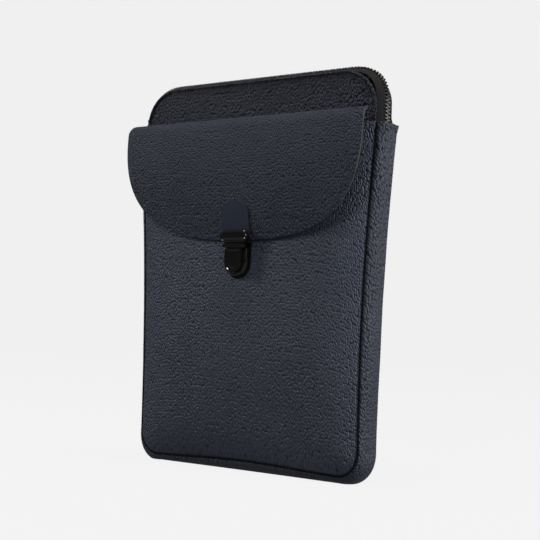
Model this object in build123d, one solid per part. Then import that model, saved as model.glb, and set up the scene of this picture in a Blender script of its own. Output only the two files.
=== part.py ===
from build123d import *

import os
from math import asin, cos, degrees, pi, radians, sin, sqrt

# Leather tablet sleeve: a zipped main compartment, a full-height front pocket, and a D-shaped flap that
# folds over the pocket's mouth and closes on a tuck lock.
# Millimetres. X runs to the right, Y to the back and Z up. The origin is on the flat foot of the gusset,
# midway along its length and across its width.

# ---- Driving dimensions -------------------------------------------------------------------------------
BODY_TOP = 306.5  # top edge of the main compartment's two panels
MOUTH = 265.5  # top edge of the pocket and of the gusset
GUSSET_BULGE = 6.5  # how far the gusset stands outside the seams
MOUTH_HALF = 111.5  # half the width between the side seams at the mouth
FOOT_HALF = 103.0  # and at the foot, where the bag tapers in
WAIST = 4.6  # the sides draw in at mid-height: depth of the corner before it is rounded
WAIST_RADIUS = 1700.0
SEAM_PLANE = 13.0  # the outer faces of the seams, in front of and behind the mid-plane
FOOT_RADIUS = 18.0  # corners of the panels at the foot
MAIN_HALF = 109.5  # half the width of the main panels above the mouth
TOP_RADIUS = 29.0  # corners of the main panels at the top
LEATHER = 1.4
GAP = 0.1  # left between layers that lie on each other
POCKET_CROWN = 13.5  # how far the filled pocket stands out in front of its seams
MAIN_CROWN = 1.5
BACK_CROWN = 3.0
PADDING = 2.5
LINING = 0.5
REACH = 60.0  # half the depth of the prisms that cut a sheet to its outline

# ---- Values worked out from them ----------------------------------------------------------------------
SEAM_FOOT = GUSSET_BULGE
MAIN_FACE = SEAM_PLANE - LEATHER - 1.2  # the main front panel lies behind the pocket's lining
GUSSET_HALF = SEAM_PLANE - LEATHER - GAP  # the gusset fills the space between the two outer panels
WAIST_Z = (SEAM_FOOT + MOUTH) / 2
TAPER_END = MOUTH - 4  # above this height the main panels' sides are parallel
MAIN_INNER = 2.0  # the main front panel's edge lies this far inside the seams
BACK_STEP = 6.0  # height over which the back panel steps in above the mouth

# Flap: its leather runs up from the root, over the fold and down the front.
FOLD_RADIUS = 9.7  # middle of the leather round the fold
FOLD_Z = 264.7  # height of the fold's centre
BELLY_RADIUS = 280.0  # middle of the leather down the front
BELLY_Y = -33.7  # the belly's most forward point
BELLY_Z = 237.5
FLAP_HALF = 111.0
FLAP_SHOULDER = 268.5  # the D outline starts here, below the fold
FLAP_TIP = 179.0
FLAP_SQUARENESS = 2.8  # exponent of the D outline: 2 is an ellipse and more is squarer
FLAP_LINING = 0.7
BELLY_CENTRE_Y = BELLY_Y + BELLY_RADIUS
FOLD_Y = BELLY_CENTRE_Y - sqrt((BELLY_RADIUS - FOLD_RADIUS) ** 2 - (FOLD_Z - BELLY_Z) ** 2)
ROOT_Y = FOLD_Y + FOLD_RADIUS
FOLD_END = 12.0  # degrees by which the stiff part of the fold stops short of its two pivots' arcs

# Lock
LOCK_FACE = -SEAM_PLANE - 12.0  # plane in front of the pocket that the lock stands on
LOCK_Z = 161.1  # centre of the round lower end of the base plate
BASE_HALF = 12.0
BASE_TOP = 176.9
BASE_PLATE = 1.0
HOUSING_HALF = 10.4
HOUSING_TOP = 172.5
HOUSING_DEPTH = 4.6
HOUSING_WALL = 1.2
THUMB_HALF = 7.35
THUMB_TOP = 172.1
THUMB_FRONT = LOCK_FACE - 8.4
STRIKE_BACK = LOCK_FACE - 6.1
STRIKE_FRONT = LOCK_FACE - 9.2
THUMB_CLEARANCE = 0.2
PRONG = (0.8, 4.0)  # thickness and width of the prongs that hold the lock to the leather
PRONG_CLEARANCE = 0.1
STRIKE_HALF = 12.75
STRIKE_HEIGHT = 9.4
STRIKE_Z = 182.5
TAB_HALF = 13.0
TAB_CENTRE_Z = 198.0  # centre of the tab's round top end
TAB_THICKNESS = 1.0
TONGUE_BOTTOM = 172.9
LIP_TOP = 176.8

# Zip
TOOTH_PITCH = 2.6
TOOTH_LENGTH = 1.0
TOOTH_NEAR = 0.6  # the two rows stand this far from the middle, so that the slider's post can pass
TOOTH_FAR = 3.0
TAPE = 0.5
TAPE_NEAR = 0.75
TAPE_BEND = 4.0  # the tape is level up to here, and then falls away to the panel
TAPE_DROP = 3.2
TEETH_TOP = 2.3
ZIP_RISE = 1.8  # the zip's line stands this far outside the panels' edges
ZIP_RADIUS = TOP_RADIUS + ZIP_RISE
ZIP_END = MOUTH - 15
SLIDER_HALF = 3.6
SLIDER_SPAN = 18.0  # degrees round the corner
SLIDER_REST = 170.0  # degrees, measured from +X round the centre of the upper left corner
CORNER_X = -(MAIN_HALF - TOP_RADIUS)
CORNER_Z = BODY_TOP - TOP_RADIUS
PIVOT_HEIGHT = 5.0  # the puller's pin, above the zip's line
PIN_RADIUS = 0.82
PIN_CLEARANCE = 0.08
PULLER_LENGTH = 20.0
PULLER_TILT = 12.5  # degrees off the vertical, which keeps the puller clear of the gusset's edge


# ---- Outlines and surfaces ----------------------------------------------------------------------------
def waist(z):
    """How far the sides are drawn in at a height: straight runs, with the bend between them rounded."""
    run = WAIST_Z - SEAM_FOOT
    bend = WAIST_RADIUS * WAIST / run
    away = abs(z - WAIST_Z)
    if away > bend:
        return WAIST * (1 - away / run)
    return WAIST * (1 - (away**2 + bend**2) / (2 * bend * run))


def straight_half(z):
    """Half the width between the side seams at a height, if they were not drawn in."""
    return FOOT_HALF + (MOUTH_HALF - FOOT_HALF) * (z - SEAM_FOOT) / (MOUTH - SEAM_FOOT)


def seam_half(z):
    return straight_half(z) - waist(z)


def closed_outline(right_side, radii):
    """Sketch symmetric about Z, from the points of its right side, upwards, and their corner radii."""
    left_side = [(-x, z) for x, z in reversed(right_side)]
    return make_face(FilletPolyline(*right_side, *left_side, radius=[*radii, *reversed(radii)], close=True))


def pocket_outline(inset):
    """Pocket panel seen from the front, with a straight mouth."""
    foot = SEAM_FOOT + inset
    points = [
        (seam_half(foot) - inset, foot),
        (straight_half(WAIST_Z) - WAIST - inset, WAIST_Z),
        (MOUTH_HALF - inset, MOUTH),
    ]
    return closed_outline(points, [FOOT_RADIUS - inset, WAIST_RADIUS, 0])


def main_outline(inset):
    """Main front panel seen from the front. It lies just inside the gusset."""
    inner = MAIN_INNER + inset
    foot = SEAM_FOOT + inner
    points = [
        (seam_half(foot) - inner, foot),
        (straight_half(WAIST_Z) - WAIST - inner, WAIST_Z),
        (MAIN_HALF - inset, TAPER_END),
        (MAIN_HALF - inset, BODY_TOP - inset),
    ]
    return closed_outline(points, [FOOT_RADIUS - inner, WAIST_RADIUS, 0, TOP_RADIUS - inset])


def back_outline():
    """Back panel seen from the front. Its sides step in to the main panels' width above the mouth."""
    points = [
        (FOOT_HALF, SEAM_FOOT),
        (straight_half(WAIST_Z) - WAIST, WAIST_Z),
        (MOUTH_HALF, MOUTH),
        (MAIN_HALF, MOUTH + BACK_STEP),
        (MAIN_HALF, BODY_TOP),
    ]
    return closed_outline(points, [FOOT_RADIUS, WAIST_RADIUS, 0, 0, TOP_RADIUS])


def prism(outline):
    """Outline in X and Z, extended through the whole depth of the bag."""
    return extrude(Plane.XZ * outline, amount=REACH, both=True)


def steps(low, high, count):
    return [low + (high - low) * i / (count - 1) for i in range(count)]


def pocket_crown(x, z):
    """A filled pocket: flat along the seams, fullest at mid-height, half as full at the mouth."""
    across = 1 - abs(x / seam_half(z)) ** 2.4
    up = (z - SEAM_FOOT) / (MOUTH - SEAM_FOOT)
    return POCKET_CROWN * across * (1 - (1 - up) ** 3) * (1 - 0.5 * up**4)


def panel_crown(x, z):
    """A padded panel as a share of its crown: level in the middle and falling to its edges."""
    middle = BODY_TOP / 2
    return (1 - (x / MOUTH_HALF) ** 4) * (1 - ((z - middle) / middle) ** 4)


def crowned_surface(crown):
    """Surface at Y = -crown over the whole front of the bag."""
    columns = steps(-MOUTH_HALF - 4, MOUTH_HALF + 4, 25)
    rows = steps(SEAM_FOOT - 3, BODY_TOP + 3, 33)
    points = [[Vector(x, -crown(x, z), z) for z in rows] for x in columns]
    return Face.make_surface_from_array_of_points(points)


def sheet(surface, face_y, thickness, outline):
    """Layer whose front follows the surface from face_y, and whose back is one thickness behind it."""
    slab = extrude(Pos(0, face_y, 0) * surface, amount=thickness, dir=(0, 1, 0))
    return slab & prism(outline)


def edge_path(points, radii):
    """Path in the mid-plane of the bag, with the corner radii of its inner points."""
    return FilletPolyline(*[(x, 0, z) for x, z in points], radius=radii)


def strip(path, section):
    """Section in Y and outward height, swept along a path that keeps the bag on its right."""
    frame = Plane(origin=path @ 0, x_dir=(0, 1, 0), z_dir=path % 0)
    return sweep(frame * section, path=path)


def seam_path(inset):
    """From the right end of the mouth, down round the foot, to the left end."""
    foot = SEAM_FOOT + inset
    right_side = [
        (MOUTH_HALF - inset, MOUTH),
        (straight_half(WAIST_Z) - WAIST - inset, WAIST_Z),
        (seam_half(foot) - inset, foot),
    ]
    left_side = [(-x, z) for x, z in reversed(right_side)]
    radii = [WAIST_RADIUS, FOOT_RADIUS - inset]
    return edge_path(right_side + left_side, radii + radii[::-1])


def zip_path():
    """From the left end of the zip, up round the top, to the right end."""
    half = MAIN_HALF + ZIP_RISE
    top = BODY_TOP + ZIP_RISE
    points = [(-half, ZIP_END), (-half, top), (half, top), (half, ZIP_END)]
    return edge_path(points, [ZIP_RADIUS, ZIP_RADIUS])


# ---- Leather shell ------------------------------------------------------------------------------------
def pocket_front_panel(surface):
    panel = sheet(surface, -SEAM_PLANE, LEATHER, pocket_outline(0))
    return panel - lock_prong_slots()


def pocket_lining(surface):
    lining = sheet(surface, -SEAM_PLANE + LEATHER + GAP, LINING, pocket_outline(3))
    return lining - lock_prong_slots()


def gusset():
    """Strip round the sides and the foot, flat along its middle and curving down to both seams."""
    flat_half = 5.0
    fall = GUSSET_HALF - flat_half
    outer = (fall**2 + GUSSET_BULGE**2) / (2 * GUSSET_BULGE)
    band = SlotCenterToCenter(2 * flat_half, 2 * outer)
    band -= SlotCenterToCenter(2 * flat_half, 2 * (outer - LEATHER))
    band = Pos(0, GUSSET_BULGE - outer) * band
    above_seams = Pos(0, GUSSET_BULGE) * Rectangle(4 * GUSSET_HALF, 2 * GUSSET_BULGE)
    return strip(seam_path(0), band & above_seams)


def seam_thread(side):
    """Thread that joins a panel to the gusset: side is -1 in front and 1 behind."""
    thread_radius = 0.4
    behind_panel = SEAM_PLANE - LEATHER - 1.5 * thread_radius
    return strip(seam_path(inset=0.9), Pos(side * behind_panel, 0) * Circle(thread_radius))


def front_layer(surface, depth, thickness, inset):
    """Layer of the main compartment's front wall, at a depth behind the wall's outer face."""
    return sheet(surface, -MAIN_FACE + depth, thickness, main_outline(inset))


def back_layer(surface, depth, thickness, outline):
    """Layer of the back wall, at a depth in front of the back panel's outer face."""
    return mirror(sheet(surface, -SEAM_PLANE + depth, thickness, outline), about=Plane.XZ)


def bottom_stiffener():
    """Board on the flat middle of the gusset's foot."""
    thickness = 1.2
    above_foot = LEATHER + 0.6
    return Pos(0, 0, above_foot + thickness / 2) * Box(160, 9, thickness)


# ---- Flap ---------------------------------------------------------------------------------------------
def flap_outline(inset=0.0):
    """D outline of the flap: a straight run of the fold on top and a squared half-ellipse below."""
    quarter = steps(0, pi / 2, 13)
    power = 2 / FLAP_SQUARENESS
    half = FLAP_HALF - inset
    drop = FLAP_SHOULDER - FLAP_TIP - inset
    right = [(half * cos(a) ** power, FLAP_SHOULDER - drop * sin(a) ** power) for a in quarter[:-1]]
    left = [(-x, z) for x, z in reversed(right)]
    edge = Spline(*right, (0, FLAP_SHOULDER - drop), *left, tangents=[(0, -1), (0, 1)])
    over = FOLD_Z + 2 * FOLD_RADIUS
    sides = Polyline(left[-1], (-half, over), (half, over), right[0])
    return make_face([edge, sides])


def belly_band(depth, thickness, low, high):
    """Cross-section, in Y and Z, of a layer down the flap's front: depth 0 is its outer face."""
    outer = BELLY_RADIUS + LEATHER / 2 - depth
    ring = Circle(outer) - Circle(outer - thickness)
    height = (low + high) / 2
    window = Pos(BELLY_CENTRE_Y - BELLY_RADIUS, height) * Rectangle(20, high - low)
    return (Pos(BELLY_CENTRE_Y, BELLY_Z) * ring) & window


def flap_layer(depth, thickness, outline, low=FLAP_TIP - 5, high=FOLD_Z - 0.7):
    band = belly_band(depth, thickness, low, high)
    return extrude(Plane.YZ * band, amount=FLAP_HALF + 5, both=True) & prism(outline)


def flap_panel():
    return flap_layer(0, LEATHER, flap_outline()) - strike_prong_slots()


def flap_lining():
    """Suede behind the flap, cut a little smaller and shorter than the leather."""
    layer = flap_layer(LEATHER + 0.05, FLAP_LINING, flap_outline(inset=1.0), high=FOLD_Z - 3)
    return layer - strike_prong_slots()


def flap_fold():
    """Stiff middle of the fold, between the two bends."""
    ring = Circle(FOLD_RADIUS + LEATHER / 2) - Circle(FOLD_RADIUS - LEATHER / 2)
    far = 3 * FOLD_RADIUS
    end = radians(FOLD_END)
    wedge = Polyline((0, 0), (far * cos(end), far * sin(end)), (far, far), (-far, far),
                     (-far * cos(end), far * sin(end)), close=True)
    arch = Pos(FOLD_Y, FOLD_Z) * (ring & make_face(wedge))
    return extrude(Plane.YZ * arch, amount=FLAP_HALF, both=True)


def flap_root_strip():
    """Flap's other end, sewn to the main panel behind the pocket's mouth. It is narrower than the flap."""
    half = 88.0
    height = 14.0
    top = FOLD_Z + 1.2
    return Pos(0, ROOT_Y, top - height / 2) * Box(2 * half, LEATHER, height)


def lock_tab():
    """Smooth tab on the flap that carries the strike."""
    outline = Pos(0, TAB_CENTRE_Z) * Circle(TAB_HALF)
    foot = STRIKE_Z - 2
    outline += Pos(0, (TAB_CENTRE_Z + foot) / 2) * Rectangle(2 * TAB_HALF, TAB_CENTRE_Z - foot)
    return flap_layer(-TAB_THICKNESS - 0.05, TAB_THICKNESS, outline) - strike_prong_slots()


# ---- Lock ---------------------------------------------------------------------------------------------
def shield(half, top, y_back, depth):
    """Plate with a round lower end and a straight top, standing forward from y_back."""
    face = Pos(0, LOCK_Z) * Circle(half) + Pos(0, (LOCK_Z + top) / 2) * Rectangle(2 * half, top - LOCK_Z)
    return Pos(0, y_back, 0) * extrude(Plane.XZ * face, amount=depth)


def prongs(x, z, front, length, clearance=0.0):
    """A pair of flat prongs that run back from a plane in Y."""
    blade = Box(PRONG[0] + 2 * clearance, length, PRONG[1] + 2 * clearance)
    middle = front + length / 2
    return Pos(x, middle, z) * blade + Pos(-x, middle, z) * blade


LOCK_PRONGS = (9.2, LOCK_Z + 1.4, LOCK_FACE, 4.2)
STRIKE_PRONGS = (8.0, STRIKE_Z, STRIKE_BACK, 5.4)


def lock_prong_slots():
    return prongs(*LOCK_PRONGS, clearance=PRONG_CLEARANCE)


def strike_prong_slots():
    return prongs(*STRIKE_PRONGS, clearance=PRONG_CLEARANCE)


def lock_base_plate():
    plate = shield(BASE_HALF, BASE_TOP, LOCK_FACE, BASE_PLATE)
    return plate + prongs(*LOCK_PRONGS)


def lock_housing():
    """Domed cover with a window for the thumb piece and room behind it for the catch plate."""
    back = LOCK_FACE - BASE_PLATE
    body = shield(HOUSING_HALF, HOUSING_TOP, back, HOUSING_DEPTH)
    rim = body.faces().sort_by(Axis.Y)[0].edges()
    body = fillet(rim.filter_by(lambda e: e.center().Z < HOUSING_TOP - 0.1), radius=2.2)
    wall = HOUSING_WALL
    room = shield(HOUSING_HALF - wall, HOUSING_TOP - wall, back, HOUSING_DEPTH - wall)
    window = shield(THUMB_HALF + THUMB_CLEARANCE, HOUSING_TOP + 1, back, HOUSING_DEPTH + 1)
    return body - room - window


def lock_button():
    """Thumb piece: a shield with a raised border round a dished face."""
    depth = LOCK_FACE - BASE_PLATE - HOUSING_DEPTH + HOUSING_WALL - THUMB_FRONT + GAP
    back = THUMB_FRONT + depth
    border = 1.3
    body = shield(THUMB_HALF, THUMB_TOP, back, depth)
    front_edges = body.faces().sort_by(Axis.Y)[0].edges()
    body = chamfer(front_edges, length=0.5)
    dish = shield(THUMB_HALF - border, THUMB_TOP - border, THUMB_FRONT + 0.8, 2)
    return body - dish


def lock_catch_plate():
    """Plate behind the thumb piece, wider than the window, that holds the tongue and is sprung forward."""
    front = LOCK_FACE - BASE_PLATE - HOUSING_DEPTH + HOUSING_WALL + GAP
    return shield(HOUSING_HALF - HOUSING_WALL - 0.4, THUMB_TOP - 1.6, front + 1.0, 1.0)


def lock_spring():
    """Leaf spring under the catch plate, drawn as it lies when pressed flat."""
    width = 6
    thickness = 0.3
    length = 12
    clear_of_plate = 0.05
    middle_y = LOCK_FACE - BASE_PLATE - clear_of_plate - thickness / 2
    return Pos(0, middle_y, LOCK_Z + length / 4) * Box(width, thickness, length)


def lock_backing_plate(surface_y):
    """Washer plate behind the pocket's lining, which the prongs are bent over."""
    thickness = 0.8
    plate = shield(BASE_HALF - 1, BASE_TOP - 4, surface_y + thickness, thickness)
    return plate - lock_prong_slots()


def lock_strike():
    """Bar on the tab, with a lip below it and a short tongue that enters the top of the lock."""
    back = STRIKE_BACK
    bar_depth = STRIKE_BACK - STRIKE_FRONT
    bar_face = SlotOverall(2 * STRIKE_HALF, STRIKE_HEIGHT)
    bar = Pos(0, back, STRIKE_Z) * extrude(Plane.XZ * bar_face, amount=bar_depth)
    bar = fillet(bar.faces().sort_by(Axis.Y)[0].edges(), radius=1.4)
    lip_half = 11.5
    lip_height = LIP_TOP - TONGUE_BOTTOM
    slope = 1.9
    upper_half = [(-lip_half, 0), (-lip_half + slope, lip_height / 2), (lip_half - slope, lip_height / 2)]
    lower_half = [(-x, -z) for x, z in upper_half]
    lip_face = make_face(Polyline(*upper_half, *lower_half, close=True))
    lip_z = (LIP_TOP + TONGUE_BOTTOM) / 2
    lip_depth = bar_depth - 0.8
    lip = Pos(0, back, lip_z) * extrude(Plane.XZ * lip_face, amount=lip_depth)
    neck_width = 19
    neck_depth = 1.8
    neck_top = STRIKE_Z - STRIKE_HEIGHT / 2 + 1
    neck_height = neck_top - TONGUE_BOTTOM
    neck_place = Pos(0, back - neck_depth / 2, TONGUE_BOTTOM + neck_height / 2)
    neck = neck_place * Box(neck_width, neck_depth, neck_height)
    tongue_width = 12
    tongue_back = LOCK_FACE - BASE_PLATE - 0.4
    tongue_place = Pos(0, (back + tongue_back) / 2, lip_z)
    tongue = tongue_place * Box(tongue_width, tongue_back - back, lip_height)
    return bar + lip + neck + tongue + prongs(*STRIKE_PRONGS)


def strike_backing_plate():
    """Washer plate behind the flap's lining, tilted as the leather is there."""
    width = 21
    thickness = 0.6
    height = 5.4
    below_belly = BELLY_Z - STRIKE_Z
    ring = BELLY_RADIUS - LEATHER / 2 - FLAP_LINING - 0.25 - thickness / 2
    lean = asin(below_belly / ring)
    place = Pos(0, BELLY_CENTRE_Y - ring * cos(lean), STRIKE_Z) * Rot(degrees(lean), 0, 0)
    return place * Box(width, thickness, height) - strike_prong_slots()


# ---- Zip ----------------------------------------------------------------------------------------------
def tape_section(side, panel_y):
    """Tape from the teeth, level and then falling to its panel. Side is -1 in front and 1 behind."""
    points = [(TAPE_NEAR, 0), (TAPE_BEND, 0), (panel_y, -TAPE_DROP), (panel_y, TAPE - TAPE_DROP),
              (TAPE_BEND, TAPE), (TAPE_NEAR, TAPE)]
    return make_face(Polyline(*[(side * y, h) for y, h in points], close=True))


def tooth_row(side, phase):
    """One row of teeth: phase is the row's shift along the zip, in pitches."""
    path = zip_path()
    bottom = TAPE + 0.05
    tooth = Box(TOOTH_FAR - TOOTH_NEAR, TEETH_TOP - bottom, TOOTH_LENGTH)
    tooth = chamfer(tooth.edges().filter_by(Axis.Z).group_by(Axis.Y)[-1], length=0.4)
    place = Pos(side * (TOOTH_NEAR + TOOTH_FAR) / 2, (TEETH_TOP + bottom) / 2, 0)
    ends = 6.0
    count = int((path.length - 2 * ends) / TOOTH_PITCH)
    row = []
    for i in range(count):
        along = (ends + TOOTH_PITCH * (i + phase)) / path.length
        frame = Plane(origin=path @ along, x_dir=(0, 1, 0), z_dir=path % along)
        row.append((frame * place * tooth).solid())
    return Compound(children=row)


def zip_end_stops():
    """A clip over both rows at each end of the teeth."""
    path = zip_path()
    length = 2.4
    clip = Pos(0, TEETH_TOP - 0.8, 0) * Box(2 * TOOTH_FAR, 1.8, length)
    first = 1.6 / path.length
    stops = []
    for along in (first, 1 - first):
        frame = Plane(origin=path @ along, x_dir=(0, 1, 0), z_dir=path % along)
        stops.append((frame * clip).solid())
    return Compound(children=stops)


def on_slider(height, tangent_offset=0.0):
    """X and Z of a point above the middle of the slider, at a height outside the zip's line."""
    angle = radians(SLIDER_REST)
    radius = ZIP_RADIUS + height
    x = CORNER_X + radius * cos(angle) + tangent_offset * sin(angle)
    z = CORNER_Z + radius * sin(angle) - tangent_offset * cos(angle)
    return x, z


def arc_block(low, high, half_width, span):
    """Block bent round the corner's centre: heights low to high outside the zip's line."""
    ring = Circle(ZIP_RADIUS + high) - Circle(ZIP_RADIUS + low)
    far = 3 * ZIP_RADIUS
    first = radians(SLIDER_REST - span / 2)
    last = radians(SLIDER_REST + span / 2)
    edges = [(far * cos(a), far * sin(a)) for a in (first, last)]
    wedge = Polyline((0, 0), *edges, close=True)
    face = Pos(CORNER_X, CORNER_Z) * (ring & make_face(wedge))
    return extrude(Plane.XZ * face, amount=half_width, both=True)


def zip_slider():
    """Two plates joined by a post that passes between the rows, with a lug for the puller's pin."""
    plate = 0.8
    upper = TEETH_TOP + 0.3
    lower = -0.4
    top = arc_block(upper, upper + plate, SLIDER_HALF, SLIDER_SPAN)
    bottom = arc_block(lower - plate, lower, SLIDER_HALF, SLIDER_SPAN)
    post = arc_block(lower - plate / 2, upper + plate / 2, TOOTH_NEAR - 0.1, 4)
    x, z = on_slider(PIVOT_HEIGHT)
    lug_radius = 1.6
    lug_half = 0.8
    lug = Pos(x, lug_half, z) * extrude(Plane.XZ * Circle(lug_radius), amount=2 * lug_half)
    hole_radius = PIN_RADIUS + PIN_CLEARANCE
    hole = Pos(x, 2 * lug_half, z) * extrude(Plane.XZ * Circle(hole_radius), amount=4 * lug_half)
    foot = arc_block(upper + plate / 2, PIVOT_HEIGHT - 1.0, lug_half, 5)
    return top + bottom + post + foot + lug - hole


def zip_puller():
    """Flat puller, forked over the slider's lug, with its pin through the lug."""
    thickness = 1.0
    half = 3.2
    slot_half = 0.95
    arm = 4.0
    fork_half = 2.2
    eye_radius = 1.3
    pin_half = 1.5
    body = Pos(0, 0, -arm / 2 - PULLER_LENGTH / 2) * Box(thickness, 2 * half, PULLER_LENGTH - arm)
    body = fillet(body.edges().filter_by(Axis.X), radius=1.5)
    arms = Pos(0, 0, -arm / 2) * Box(thickness, 2 * fork_half, arm + 1.0)
    eyes = Pos(0, fork_half, 0) * extrude(Plane.XZ * Circle(eye_radius), amount=2 * fork_half)
    gap = Pos(0, 0, 0.5 - arm / 2) * Box(4 * eye_radius, 2 * slot_half, arm + 2)
    pin = Pos(0, pin_half, 0) * extrude(Plane.XZ * Circle(PIN_RADIUS), amount=2 * pin_half)
    x, z = on_slider(PIVOT_HEIGHT)
    return Pos(x, 0, z) * Rot(0, PULLER_TILT, 0) * (body + (arms + eyes - gap) + pin)


# ---- Assembly -----------------------------------------------------------------------------------------
def build():
    pocket = crowned_surface(pocket_crown)
    front = crowned_surface(lambda x, z: MAIN_CROWN * panel_crown(x, z))
    back = crowned_surface(lambda x, z: BACK_CROWN * panel_crown(x, z))
    zip_line = zip_path()
    wall = LEATHER + GAP
    padded = wall + PADDING + GAP
    inset = 4.0
    lining_back = -SEAM_PLANE - pocket_crown(0, LOCK_Z) + wall + LINING + 0.15
    return {
        "pocket_front_panel": pocket_front_panel(pocket),
        "pocket_lining": pocket_lining(pocket),
        "main_front_panel": front_layer(front, 0, LEATHER, 0),
        "front_padding": front_layer(front, wall, PADDING, inset),
        "front_lining": front_layer(front, padded, LINING, inset),
        "back_panel": back_layer(back, 0, LEATHER, back_outline()),
        "back_padding": back_layer(back, wall, PADDING, main_outline(inset)),
        "back_lining": back_layer(back, padded, LINING, main_outline(inset)),
        "gusset": gusset(),
        "bottom_stiffener": bottom_stiffener(),
        "front_seam_thread": seam_thread(-1),
        "back_seam_thread": seam_thread(1),
        "flap_root_strip": flap_root_strip(),
        "flap_fold": flap_fold(),
        "flap_panel": flap_panel(),
        "flap_lining": flap_lining(),
        "lock_tab": lock_tab(),
        "lock_strike": lock_strike(),
        "strike_backing_plate": strike_backing_plate(),
        "lock_base_plate": lock_base_plate(),
        "lock_housing": lock_housing(),
        "lock_button": lock_button(),
        "lock_catch_plate": lock_catch_plate(),
        "lock_spring": lock_spring(),
        "lock_backing_plate": lock_backing_plate(lining_back),
        "zip_tape_front": strip(zip_line, tape_section(-1, MAIN_FACE - LEATHER - GAP)),
        "zip_tape_back": strip(zip_line, tape_section(1, GUSSET_HALF)),
        "zip_teeth_front": tooth_row(-1, 0),
        "zip_teeth_back": tooth_row(1, 0.5),
        "zip_end_stops": zip_end_stops(),
        "zip_slider": zip_slider(),
        "zip_puller": zip_puller(),
    }


os.makedirs("parts", exist_ok=True)
for name, shape in build().items():
    export_step(shape, f"parts/{name}.step")
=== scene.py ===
from math import asin, cos, hypot, pi, radians, sin, sqrt

import bmesh
import bpy
import numpy as np
from mathutils import Matrix, Vector, noise


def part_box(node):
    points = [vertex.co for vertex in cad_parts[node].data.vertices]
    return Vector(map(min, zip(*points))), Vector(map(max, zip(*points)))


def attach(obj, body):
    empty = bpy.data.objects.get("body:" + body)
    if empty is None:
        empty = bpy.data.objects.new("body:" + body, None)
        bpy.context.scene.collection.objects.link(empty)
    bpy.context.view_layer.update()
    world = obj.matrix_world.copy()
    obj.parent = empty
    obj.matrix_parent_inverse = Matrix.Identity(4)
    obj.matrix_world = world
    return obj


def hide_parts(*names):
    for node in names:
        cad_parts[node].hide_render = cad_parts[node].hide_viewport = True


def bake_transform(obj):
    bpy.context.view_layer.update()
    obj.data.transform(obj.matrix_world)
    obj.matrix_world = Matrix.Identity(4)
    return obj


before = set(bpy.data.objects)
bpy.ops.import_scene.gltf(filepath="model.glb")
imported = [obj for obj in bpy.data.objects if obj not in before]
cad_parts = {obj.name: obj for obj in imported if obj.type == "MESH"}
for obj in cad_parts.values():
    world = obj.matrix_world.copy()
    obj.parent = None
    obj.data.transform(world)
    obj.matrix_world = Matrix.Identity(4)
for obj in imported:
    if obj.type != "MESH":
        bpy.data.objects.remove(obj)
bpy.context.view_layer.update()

# Leather tablet sleeve with a zip compartment, a front pocket and a flap with a tuck lock.
# Metres, in the CAD frame: X to the right, Y to the back, Z up, origin on the foot of the gusset.
MM = 0.001

# ---- Sizes from the frame ----
pocket_low, pocket_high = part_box("pocket_front_panel")
main_low, main_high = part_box("main_front_panel")
gusset_low, gusset_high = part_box("gusset")
fold_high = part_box("flap_fold")[1]
flap_low, flap_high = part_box("flap_panel")
tab_low, tab_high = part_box("lock_tab")

LEATHER = 1.4 * MM
SEAM_FOOT = pocket_low.z
MOUTH = pocket_high.z
MOUTH_HALF = pocket_high.x
FOOT_HALF = MOUTH_HALF - 8.5 * MM
FOOT_RADIUS = 18 * MM
WAIST = 3.5 * MM
SEAM_PLANE = LEATHER - pocket_high.y
GUSSET_HALF = gusset_high.y
MAIN_HALF = main_high.x
MAIN_TOP = main_high.z
MAIN_FOOT = main_low.z
TOP_RADIUS = 29 * MM
BACK_TOP_RADIUS = 24 * MM
MAIN_FACE = main_high.y - LEATHER
BODY_MIDDLE = MAIN_TOP / 2

FOLD_OUTER = fold_high.z
FOLD_RADIUS = 9.7 * MM
FOLD_Z = FOLD_OUTER - FOLD_RADIUS - LEATHER / 2
BELLY_RADIUS = 280 * MM
BELLY_Z = MOUTH - 28 * MM
BELLY_CENTRE_Y = flap_low.y + BELLY_RADIUS + LEATHER / 2
FOLD_Y = BELLY_CENTRE_Y - sqrt((BELLY_RADIUS - FOLD_RADIUS) ** 2 - (FOLD_Z - BELLY_Z) ** 2)
ROOT_Y = FOLD_Y + FOLD_RADIUS
FLAP_HALF = flap_high.x
FLAP_SHOULDER = MOUTH + 3 * MM
FLAP_TIP = flap_low.z
FLAP_SQUARENESS = 2.8
FLAP_THICKNESS = 1.9 * MM
FOLD_TAPER = 2.2 * MM
ROOT_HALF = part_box("flap_root_strip")[1].x


# ---- Mesh helpers ----
def new_object(name, vertices, faces):
    mesh = bpy.data.meshes.new(name)
    mesh.from_pydata([tuple(v) for v in vertices], [], faces)
    mesh.validate()
    mesh.polygons.foreach_set("use_smooth", [True] * len(mesh.polygons))
    obj = bpy.data.objects.new(name, mesh)
    bpy.context.scene.collection.objects.link(obj)
    return obj


def grid_faces(rows, columns, wrap=False, flip=False):
    """Quads of a grid of rows by columns; wrap joins the last column to the first."""
    faces = []
    last = columns if wrap else columns - 1
    for r in range(rows - 1):
        for c in range(last):
            d = (c + 1) % columns
            quad = (r * columns + c, r * columns + d, (r + 1) * columns + d, (r + 1) * columns + c)
            faces.append(quad[::-1] if flip else quad)
    return faces


def grid_object(name, points, wrap=False, flip=False):
    """Object from an array of points, rows by columns by 3."""
    rows, columns = points.shape[:2]
    return new_object(name, points.reshape(-1, 3), grid_faces(rows, columns, wrap, flip))


def thicken(obj, thickness, edge, rim_slot=0):
    """Gives a sheet its thickness, behind its face, and rounds its edges."""
    solid = obj.modifiers.new("thickness", "SOLIDIFY")
    solid.thickness = thickness
    solid.offset = -1
    solid.material_offset_rim = rim_slot
    bevel = obj.modifiers.new("edge", "BEVEL")
    bevel.width = edge
    bevel.segments = 2
    bevel.limit_method = "ANGLE"
    bevel.angle_limit = radians(50)
    return obj


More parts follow.
